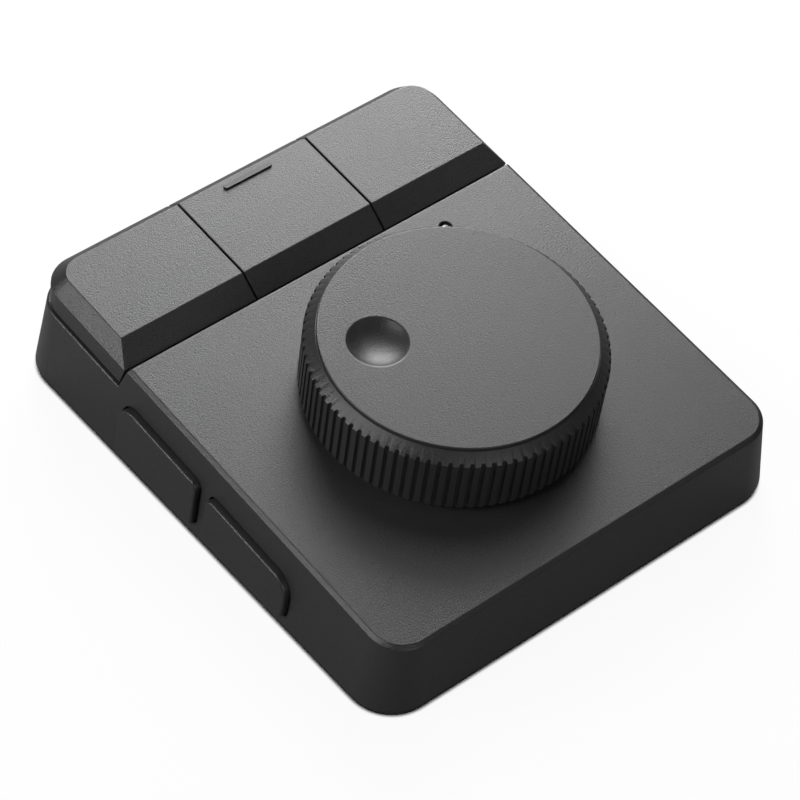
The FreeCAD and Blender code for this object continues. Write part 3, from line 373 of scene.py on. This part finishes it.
def buildRing():
    bm = bmesh.new()
    radius = ring["radius"]
    tooth = fullTurn / ring["teeth"]
    middle = radius - ring["grooveIn"]
    rim = math.acos((radius ** 2 + middle ** 2 - ring["grooveRadius"] ** 2) / (2 * radius * middle))
    opening = math.atan2(radius * math.sin(rim), radius * math.cos(rim) - middle)
    start = (radius * math.cos(tooth / 2), -radius * math.sin(tooth / 2), ring["bottom"])
    corner = bmesh.ops.create_vert(bm, co=start)["vert"][0]
    land = ring["landSteps"]
    corner = swing(bm, corner, (0, 0, 0), upright, tooth / 2 - rim, land)
    corner = swing(bm, corner, (middle, 0, 0), upright, 2 * opening - fullTurn, ring["grooveSteps"])
    swing(bm, corner, (0, 0, 0), upright, tooth / 2 - rim, land)

    turn = bm.verts.layers.float.new("turn")  # where a corner stands on the rows inside the teeth
    bm.verts.ensure_lookup_table()
    for i, vert in enumerate(bm.verts):
        if land <= i <= land + ring["grooveSteps"]:
            vert[turn] = rim * (2 * (i - land) / ring["grooveSteps"] - 1)
        else:
            vert[turn] = math.atan2(vert.co.y, vert.co.x)

    def onCone(vert):
        out = math.hypot(vert.co.x, vert.co.y)
        slope = (ring["coneTop"] - ring["knurlTop"]) / (radius - ring["coneRadius"])
        return (vert.co.x, vert.co.y, ring["knurlTop"] + (radius - out) * slope)

    def inside(out, up):
        return lambda vert: (out * math.cos(vert[turn]), out * math.sin(vert[turn]), up)

    foot = list(bm.edges)
    for vert in bm.verts:
        out = math.hypot(vert.co.x, vert.co.y)
        vert.co.z = max(ring["bottom"], ring["bottom"] + ring["bottomSlope"] - (radius - out))
    pullLoop(bm, foot, inside(ring["innerRadius"], ring["bottom"]))
    arch = pullLoop(bm, foot, onCone)
    row = arch
    for out, up in ((ring["coneRadius"], ring["coneTop"]), (ring["mouthRadius"], ring["coneTop"]),
                    (ring["mouthRadius"], ring["roof"]), (ring["innerRadius"], ring["roof"]),
                    (ring["innerRadius"], ring["bottom"])):
        row = pullLoop(bm, row, inside(out, up))
    bmesh.ops.remove_doubles(bm, verts=bm.verts, dist=merge)
    bmesh.ops.recalc_face_normals(bm, faces=bm.faces)

    archCorners = {vert for edge in arch if edge.is_valid for vert in edge.verts}
    flanks = []
    for vert in archCorners:
        if abs(abs(math.atan2(vert.co.y, vert.co.x)) - rim) < ring["flankNear"] \
                and math.hypot(*vert.co.xy) > radius - touch:
            flanks += [edge for edge in vert.link_edges if edge.other_vert(vert).co.z < ring["knurlTop"] - 1]
    soften(bm, [edge for edge in arch if edge.is_valid] + flanks, ring["edgeRound"], ring["edgeSteps"])
    bmesh.ops.spin(bm, geom=bm.verts[:] + bm.edges[:] + bm.faces[:], cent=(0, 0, 0), axis=upright,
                   dvec=(0, 0, 0), angle=fullTurn - tooth, steps=ring["teeth"] - 1, use_merge=False,
                   use_duplicate=True)
    addPiece("dialRing", bm, dialPlace, "dial", "dialPlastic", ["dial_ring"])


buildRing()


# Dial lid with the finger dimple

lid = {"radius": 23.63, "top": 14.85, "under": 14.15, "edgeRound": 0.20, "spigotRadius": 21.40,
       "spigotLow": 12.65, "dimpleX": -12.0, "dimpleY": 6.46, "dimpleRadius": 5.30, "dimpleDepth": 1.90,
       "rimRound": 0.20, "steps": 144, "posts": 3, "postRadius": 2.6, "postLow": 10.9, "postCircle": 16.5,
       "postTurn": 60.0, "arcSteps": 12, "edgeSteps": 4, "postSteps": 32}


def buildLid():
    bm = bmesh.new()
    side = chain(bm, [(0, lid["spigotLow"]), (lid["spigotRadius"], lid["spigotLow"]),
                      (lid["spigotRadius"], lid["under"]), (lid["radius"], lid["under"]),
                      (lid["radius"], lid["top"])])
    spinFully(bm, side + list(bm.edges), lid["steps"])
    brim = [edge for edge in bm.edges if edge.is_boundary and edge.verts[0].co.z > lid["top"] - touch
            and edge.verts[1].co.z > lid["top"] - touch]

    ball = (lid["dimpleRadius"] ** 2 + lid["dimpleDepth"] ** 2) / (2 * lid["dimpleDepth"])
    middle = (lid["dimpleX"], lid["dimpleY"], lid["top"] - lid["dimpleDepth"] + ball)
    older = set(bm.verts)
    low = bmesh.ops.create_vert(bm, co=(middle[0], middle[1], middle[2] - ball))["vert"][0]
    swing(bm, low, middle, (0, -1, 0), math.asin(lid["dimpleRadius"] / ball), lid["arcSteps"])
    arc = [vert for vert in bm.verts if vert not in older]
    arcEdges = list({edge for vert in arc for edge in vert.link_edges})
    spinFully(bm, arc + arcEdges, lid["steps"], middle)
    dimple = [edge for edge in bm.edges if edge.is_boundary and edge not in brim
              and min(vert.co.z for vert in edge.verts) > lid["top"] - touch]
    bmesh.ops.bridge_loops(bm, edges=brim + dimple)
    bmesh.ops.remove_doubles(bm, verts=bm.verts, dist=merge)
    bmesh.ops.recalc_face_normals(bm, faces=bm.faces)

    def onCircle(edge, x, y, out):
        return all(abs(math.hypot(vert.co.x - x, vert.co.y - y) - out) < touch
                   and abs(vert.co.z - lid["top"]) < touch for vert in edge.verts)

    soften(bm, [edge for edge in bm.edges if onCircle(edge, 0, 0, lid["radius"])], lid["edgeRound"],
           lid["edgeSteps"])
    soften(bm, [edge for edge in bm.edges if onCircle(edge, middle[0], middle[1], lid["dimpleRadius"])],
           lid["rimRound"], lid["edgeSteps"])
    for i in range(lid["posts"]):
        angle = math.radians(lid["postTurn"]) + fullTurn * i / lid["posts"]
        spot = (lid["postCircle"] * math.cos(angle), lid["postCircle"] * math.sin(angle),
                (lid["postLow"] + lid["spigotLow"]) / 2)
        bmesh.ops.create_cone(bm, cap_ends=True, segments=lid["postSteps"], radius1=lid["postRadius"],
                              radius2=lid["postRadius"], depth=lid["spigotLow"] - lid["postLow"],
                              matrix=Matrix.Translation(spot))
    addPiece("dialLid", bm, dialPlace, "dial", "dialPlastic", ["dial_top"])


buildLid()


# Keys: one block with sloping sides, cut at the seams into three caps

keys = {"topHalf": 39.80, "topFront": 26.00, "topBack": 44.70, "topCorner": 4.0, "topUp": 2.0,
        "brimHalf": 42.10, "brimFront": 21.73, "brimBack": 47.35, "brimCorner": 6.4, "brimUp": -0.9,
        "skirtUp": -5.0, "frontSlant": 0.285, "seamAt": 14.033, "seamGap": 0.4, "edgeRound": 0.14,
        "wall": 1.5, "roof": 1.6, "postRadius": 1.5, "postLow": -8.1, "pusherRadius": 2.1, "pusherLow": -4.75,
        "postSpread": 9.233, "hookWide": 4.0, "hookThick": 1.1, "hookLow": -8.3, "hookInFront": 5.4,
        "hookInBack": 4.4, "barb": 0.8, "barbTop": -7.6, "neckUp": -1.6, "ribThick": 0.8, "ribDeep": 1.0,
        "collarRadius": 2.3, "collarHigh": 1.2, "sunkIn": 0.2, "far": 60.0, "sharpFrom": 22,
        "edgeSteps": 3, "rodSteps": 28}
keySpans = {"left": (-keys["far"], -keys["seamAt"] - keys["seamGap"] / 2),
            "middle": (-keys["seamAt"] + keys["seamGap"] / 2, keys["seamAt"] - keys["seamGap"] / 2),
            "right": (keys["seamAt"] + keys["seamGap"] / 2, keys["far"])}


def closeCut(bm, result):
    bmesh.ops.edgeloop_fill(bm, edges=edgesOf(result["geom_cut"]))


def addBlock(bm, low, high):
    size = Matrix.Diagonal([end - start for start, end in zip(low, high)] + [1])
    middle = Matrix.Translation([(start + end) / 2 for start, end in zip(low, high)])
    bmesh.ops.create_cube(bm, size=1.0, matrix=middle @ size)


def addHook(bm, x, y, way, ceiling):
    # A tab whose barb slopes back to the tab's lower end.
    half, thick = keys["hookWide"] / 2, way * keys["hookThick"] / 2
    side = [(y - thick, ceiling), (y - thick, keys["hookLow"]), (y + thick, keys["hookLow"]),
            (y + thick + way * keys["barb"], keys["barbTop"]), (y + thick, keys["barbTop"]),
            (y + thick, ceiling)]
    corners = [bmesh.ops.create_vert(bm, co=(x - half, along, up))["vert"][0] for along, up in side]
    edges = [bm.edges.new(pair) for pair in zip(corners, corners[1:] + corners[:1])]
    face = bmesh.ops.edgeloop_fill(bm, edges=edges)["faces"]
    grown = bmesh.ops.extrude_face_region(bm, geom=face)["geom"]
    bmesh.ops.translate(bm, vec=(2 * half, 0, 0), verts=vertsOf(grown))


def sinkFaces(bm, faces, rise):
    sunk = bmesh.ops.extrude_face_region(bm, geom=faces)["geom"]
    bmesh.ops.delete(bm, geom=faces, context="FACES_ONLY")
    bmesh.ops.translate(bm, vec=(0, 0, rise), verts=vertsOf(sunk))
    return sunk


def narrowRoof(roof, front):
    # The hollow's roof is drawn in under the cap's sloping sides.
    wall, back = keys["wall"], keys["brimBack"] - keys["wall"]
    deep = (keys["topBack"] - keys["topFront"] - 2 * wall) / (back - front)
    seam = keys["seamAt"] + keys["seamGap"] / 2 + wall
    wide = (keys["topHalf"] - wall - seam) / (keys["brimHalf"] - wall - seam)
    for vert in vertsOf(roof):
        vert.co.y = keys["topFront"] + wall + deep * (vert.co.y - front)
        if abs(vert.co.x) > seam:
            vert.co.x = math.copysign(seam + wide * (abs(vert.co.x) - seam), vert.co.x)


def buildKey(side):
    bm = bmesh.new()
    slant = keys["frontSlant"] * (keys["brimUp"] - keys["skirtUp"])
    skirt = outline(bm, keys["brimHalf"], keys["brimFront"] + slant, keys["brimBack"], keys["skirtUp"],
                    keys["brimCorner"], True)
    brim = outline(bm, keys["brimHalf"], keys["brimFront"], keys["brimBack"], keys["brimUp"],
                   keys["brimCorner"], True)
    crown = outline(bm, keys["topHalf"], keys["topFront"], keys["topBack"], keys["topUp"],
                    keys["topCorner"], True)
    bmesh.ops.bridge_loops(bm, edges=skirt + brim)
    bmesh.ops.bridge_loops(bm, edges=brim + crown)
    bmesh.ops.edgeloop_fill(bm, edges=crown)
    bmesh.ops.edgeloop_fill(bm, edges=skirt)
    start, end = keySpans[side]
    for x, way in ((start, -1), (end, 1)):
        if abs(x) < keys["brimHalf"]:
            cut = bmesh.ops.bisect_plane(bm, geom=bm.verts[:] + bm.edges[:] + bm.faces[:], dist=0.0001,
                                         plane_co=(x, 0, 0), plane_no=(way, 0, 0), clear_outer=True)
            closeCut(bm, cut)
    bmesh.ops.recalc_face_normals(bm, faces=bm.faces)
    foot = keys["skirtUp"] + touch
    soften(bm, [edge for edge in sharpEdges(bm, keys["sharpFrom"]) if max(v.co.z for v in edge.verts) > foot],
           keys["edgeRound"], keys["edgeSteps"])

    floor = max((face for face in bm.faces if face.normal.z < -0.9), key=lambda face: face.calc_area())
    bmesh.ops.inset_region(bm, faces=[floor], thickness=keys["wall"], use_even_offset=True)
    under = keys["topUp"] - keys["roof"]
    neck = sinkFaces(bm, [floor], keys["neckUp"] - keys["skirtUp"])
    neckFaces = [item for item in neck if isinstance(item, bmesh.types.BMFace)]
    roof = sinkFaces(bm, neckFaces, under - keys["neckUp"])
    narrowRoof(roof, keys["brimFront"] + slant + keys["wall"])

    low, high = max(start, -keys["brimHalf"]), min(end, keys["brimHalf"])
    x = (low + high) / 2
    if side != "middle":
        x = math.copysign((keys["seamAt"] + keys["brimHalf"]) / 2, x)
    y = (keys["brimFront"] + keys["brimBack"]) / 2
    ceiling = under + keys["sunkIn"]
    rods = [(x, keys["pusherRadius"], keys["pusherLow"])]
    spread = (x - keys["postSpread"], x + keys["postSpread"])
    for px in spread:
        rods.append((px, keys["postRadius"], keys["postLow"]))
        rods.append((px, keys["collarRadius"], under - keys["collarHigh"]))
    for px, radius, low in rods:
        bmesh.ops.create_cone(bm, cap_ends=True, segments=keys["rodSteps"], radius1=radius, radius2=radius,
                              depth=ceiling - low, matrix=Matrix.Translation((px, y, (ceiling + low) / 2)))
    for way, hookY in ((-1, keys["brimFront"] + keys["hookInFront"]),
                       (1, keys["brimBack"] - keys["hookInBack"])):
        addHook(bm, x, hookY, way, ceiling)
    for px in spread:
        addBlock(bm, (px - keys["ribThick"] / 2, keys["topFront"] + keys["wall"], under - keys["ribDeep"]),
                 (px + keys["ribThick"] / 2, keys["topBack"] - 2 * keys["wall"], ceiling))
    addPiece("key" + side.capitalize(), bm, deckPlace, "key_" + side, "keyPlastic",
                    ["key_cap_" + side])


for side in keySpans:
    buildKey(side)


# Tactile bar on the middle key

bar = {"halfLong": 5.2, "halfWide": 0.5, "along": 43.1, "low": 1.2, "high": 2.4, "edgeRound": 0.28,
       "edgeSteps": 4, "endSteps": 12, "endShort": 0.001}


def buildBar():
    bm = bmesh.new()
    rims = [outline(bm, bar["halfLong"], bar["along"] - bar["halfWide"], bar["along"] + bar["halfWide"], up,
                    bar["halfWide"] - bar["endShort"], segments=bar["endSteps"])
            for up in (bar["low"], bar["high"])]
    bmesh.ops.bridge_loops(bm, edges=rims[0] + rims[1])
    for rim in rims:
        bmesh.ops.edgeloop_fill(bm, edges=rim)
    bmesh.ops.recalc_face_normals(bm, faces=bm.faces)
    soften(bm, rims[1], bar["edgeRound"], bar["edgeSteps"])
    addPiece("keyBar", bm, deckPlace, "key_middle", "darkInlay", ["key_bar"])


buildBar()


# Light pipe: a pin with a holding flange and a slightly domed end

pipe = {"x": 22.9, "along": 15.69, "radius": 0.85, "low": -7.4, "flangeRadius": 1.9, "flangeLow": -2.8,
        "flangeTop": -2.0, "shoulder": -0.32, "tip": -0.20, "tipRadius": 0.66, "domeSteps": 6,
        "roundSteps": 48}


def buildPipe():
    bm = bmesh.new()
    side = chain(bm, [(0, pipe["low"]), (pipe["radius"], pipe["low"]), (pipe["radius"], pipe["flangeLow"]),
                      (pipe["flangeRadius"], pipe["flangeLow"]), (pipe["flangeRadius"], pipe["flangeTop"]),
                      (pipe["radius"], pipe["flangeTop"]), (pipe["tipRadius"], pipe["shoulder"])])
    rise = pipe["tip"] - pipe["shoulder"]
    dome = (pipe["tipRadius"] ** 2 + rise ** 2) / (2 * rise)
    swing(bm, side[-1], (0, 0, pipe["tip"] - dome), (0, -1, 0), math.asin(pipe["tipRadius"] / dome),
          pipe["domeSteps"])
    spinFully(bm, bm.verts[:] + bm.edges[:], pipe["roundSteps"])
    bmesh.ops.translate(bm, vec=(pipe["x"], pipe["along"], 0), verts=bm.verts)
    addPiece("lightPipe", bm, deckPlace, "case", "milkyLight", ["light_pipe"])


buildPipe()


# Plated contacts on the socket's tongue

contacts = {"count": 12, "pitch": 0.5, "wide": 0.26, "front": 44.6, "back": 47.2, "middle": -12.2,
            "tongueHalf": 0.35, "proud": 0.05, "edgeRound": 0.04}


def buildContacts():
    bm = bmesh.new()
    long = contacts["back"] - contacts["front"]
    for i in range(contacts["count"]):
        x = contacts["pitch"] * (i - (contacts["count"] - 1) / 2)
        spot = Matrix.Translation((x, contacts["front"] + long / 2, contacts["middle"]))
        size = Matrix.Diagonal((contacts["wide"], long, 2 * (contacts["tongueHalf"] + contacts["proud"]), 1))
        bmesh.ops.create_cube(bm, size=1.0, matrix=spot @ size)
    soften(bm, list(bm.edges), contacts["edgeRound"], 1)
    addPiece("socketContacts", bm, deckPlace, "case", "goldPlate")


buildContacts()


# Stage: a pale floor that keeps the object's shadow, with a painted shadow under the object's edge, and soft
# lamps on all sides

# The contact entries set the painted shadow under the object's edge: its reach, where it starts, how fast it
# fades, its samples and its near-black colour.
stage = {"half": 12.0, "clear": 0.00002, "floorWhite": 0.90, "floorBounce": 0.15, "seenGlow": 0.93,
         "mirroredGlow": 0.10, "contact": 0.0014, "paintedShadowFrom": 0.5, "paintedShadowSlope": 5.0,
         "paintedShadowDark": 0.01, "paintedShadowSamples": 12, "roughness": 0.9, "aside": (3.0, -5.0)}


def buildFloor():
    bm = bmesh.new()
    bmesh.ops.create_grid(bm, x_segments=1, y_segments=1, size=stage["half"])
    mesh = bpy.data.meshes.new("floor")
    bm.to_mesh(mesh)
    bm.free()
    floor = bpy.data.objects.new("floor", mesh)
    floor.location = (*stage["aside"], -stage["clear"])
    bpy.context.collection.objects.link(floor)
    finish = Finish("floorPaper", {"Roughness": stage["roughness"], "Specular IOR Level": 0.0})
    seen, mirrored = [finish.node("ShaderNodeLightPath", output=kind)
                      for kind in ("Is Camera Ray", "Is Glossy Ray")]
    seen = seen + finish.node("ShaderNodeLightPath", output="Is Transmission Ray")
    finish.drive(Base_Color=finish.blend(seen, shade((1, 1, 1), stage["floorBounce"]),
                                         shade((1, 1, 1), stage["floorWhite"])))
    glow = finish.node("ShaderNodeEmission", {}, {"Color": (1, 1, 1, 1), "Strength": 1.0})
    body = Flow(finish, finish.shader.outputs[0])
    mixed = finish.node("ShaderNodeMixShader", {},
                        {0: seen * stage["seenGlow"] + mirrored * stage["mirroredGlow"], 1: body, 2: glow})
    # Painted shadow: where ambient occlusion finds the object within a short reach, the floor is mixed towards
    # a near-black diffuse, so the narrow gap below the object's edge stays dark.
    near = finish.node("ShaderNodeAmbientOcclusion", {"samples": stage["paintedShadowSamples"]},
                       {"Distance": stage["contact"]}, 1)
    clear = (near - stage["paintedShadowFrom"]).clamped(stage["paintedShadowSlope"])
    # The near-black diffuse is the painted shadow's colour.
    dark = finish.node("ShaderNodeBsdfDiffuse", {}, {"Color": shade((1, 1, 1), stage["paintedShadowDark"])})
    whole = finish.node("ShaderNodeMixShader", {}, {0: clear, 1: dark, 2: mixed})
    finish.tree.links.new(whole.socket, finish.tree.nodes["Material Output"].inputs[0])
    mesh.materials.append(finish.material)


buildFloor()

lamps = {
    "overBack": {"from": (0.451, 0.378, 0.808), "away": 1.3, "size": 1.0, "power": 4.35},
    "backRight": {"from": (0.45, 0.65, 0.50), "away": 0.33, "size": 0.22, "power": 0.834},
    "backRightWide": {"from": (0.55, 0.60, 0.55), "away": 0.45, "size": 0.30, "power": 0.659},
    "backLow": {"from": (0.66, 0.72, 0.20), "away": 0.6, "size": 0.28, "power": 1.19},
    "leftPanel": {"from": (-0.80, 0.25, 0.52), "away": 0.9, "size": 0.5, "power": 2.31},
    "leftLow": {"from": (-0.83, 0.487, 0.266), "away": 0.9, "size": 0.22, "power": 1.905},
    "leftHigh": {"from": (-0.67, -0.04, 0.74), "away": 0.9, "size": 0.26, "power": 1.305},
    "frontRight": {"from": (0.486, -0.634, 0.60), "away": 0.9, "size": 0.3, "power": 0.229},
    "frontLow": {"from": (-0.2, -0.95, 0.35), "away": 0.9, "size": 0.5, "power": 1.51},
}
aimPoint = Vector((0, 0, 0.015))


def buildLamp(name, lamp):
    data = bpy.data.lights.new(name, "AREA")
    data.size = lamp["size"]
    data.energy = lamp["power"]
    holder = bpy.data.objects.new(name, data)
    bpy.context.collection.objects.link(holder)
    holder.location = aimPoint + Vector(lamp["from"]).normalized() * lamp["away"]
    holder.rotation_mode = "QUATERNION"
    holder.rotation_quaternion = (aimPoint - holder.location).to_track_quat("-Z", "Y")


for name, lamp in lamps.items():
    buildLamp(name, lamp)

world = {"light": 0.0, "seen": 1.0}


def buildWorld():
    made = bpy.data.worlds.new("studio")
    scene.world = made
    made.use_nodes = True
    tree = made.node_tree
    back = tree.nodes["Background"]
    back.inputs["Color"].default_value = (1, 1, 1, 1)
    path = tree.nodes.new("ShaderNodeLightPath")
    level = tree.nodes.new("ShaderNodeMapRange")
    level.inputs["To Min"].default_value = world["light"]
    level.inputs["To Max"].default_value = world["seen"]
    tree.links.new(path.outputs["Is Camera Ray"], level.inputs["Value"])
    tree.links.new(level.outputs["Result"], back.inputs["Strength"])


buildWorld()
print("stage and lamps ready")


# Camera at the photograph's angle

view = {"place": (-0.260181, -0.282105, 0.437639), "aim": (-0.0037564, -0.0050900, 0.012),
        "roll": 4.7415, "lens": 150.102, "sensor": 36.0, "clip": 0.01}


def buildCamera():
    data = bpy.data.cameras.new("camera")
    data.lens = view["lens"]
    data.sensor_width = view["sensor"]
    data.clip_start = view["clip"]
    camera = bpy.data.objects.new("camera", data)
    bpy.context.collection.objects.link(camera)
    camera.location = view["place"]
    towards = Vector(view["aim"]) - Vector(view["place"])
    camera.rotation_mode = "QUATERNION"
    camera.rotation_quaternion = (towards.to_track_quat("-Z", "Y")
                                  @ Quaternion(upright, math.radians(view["roll"])))
    scene.camera = camera


buildCamera()
scene.view_settings.view_transform = "Standard"

bpy.context.view_layer.update()
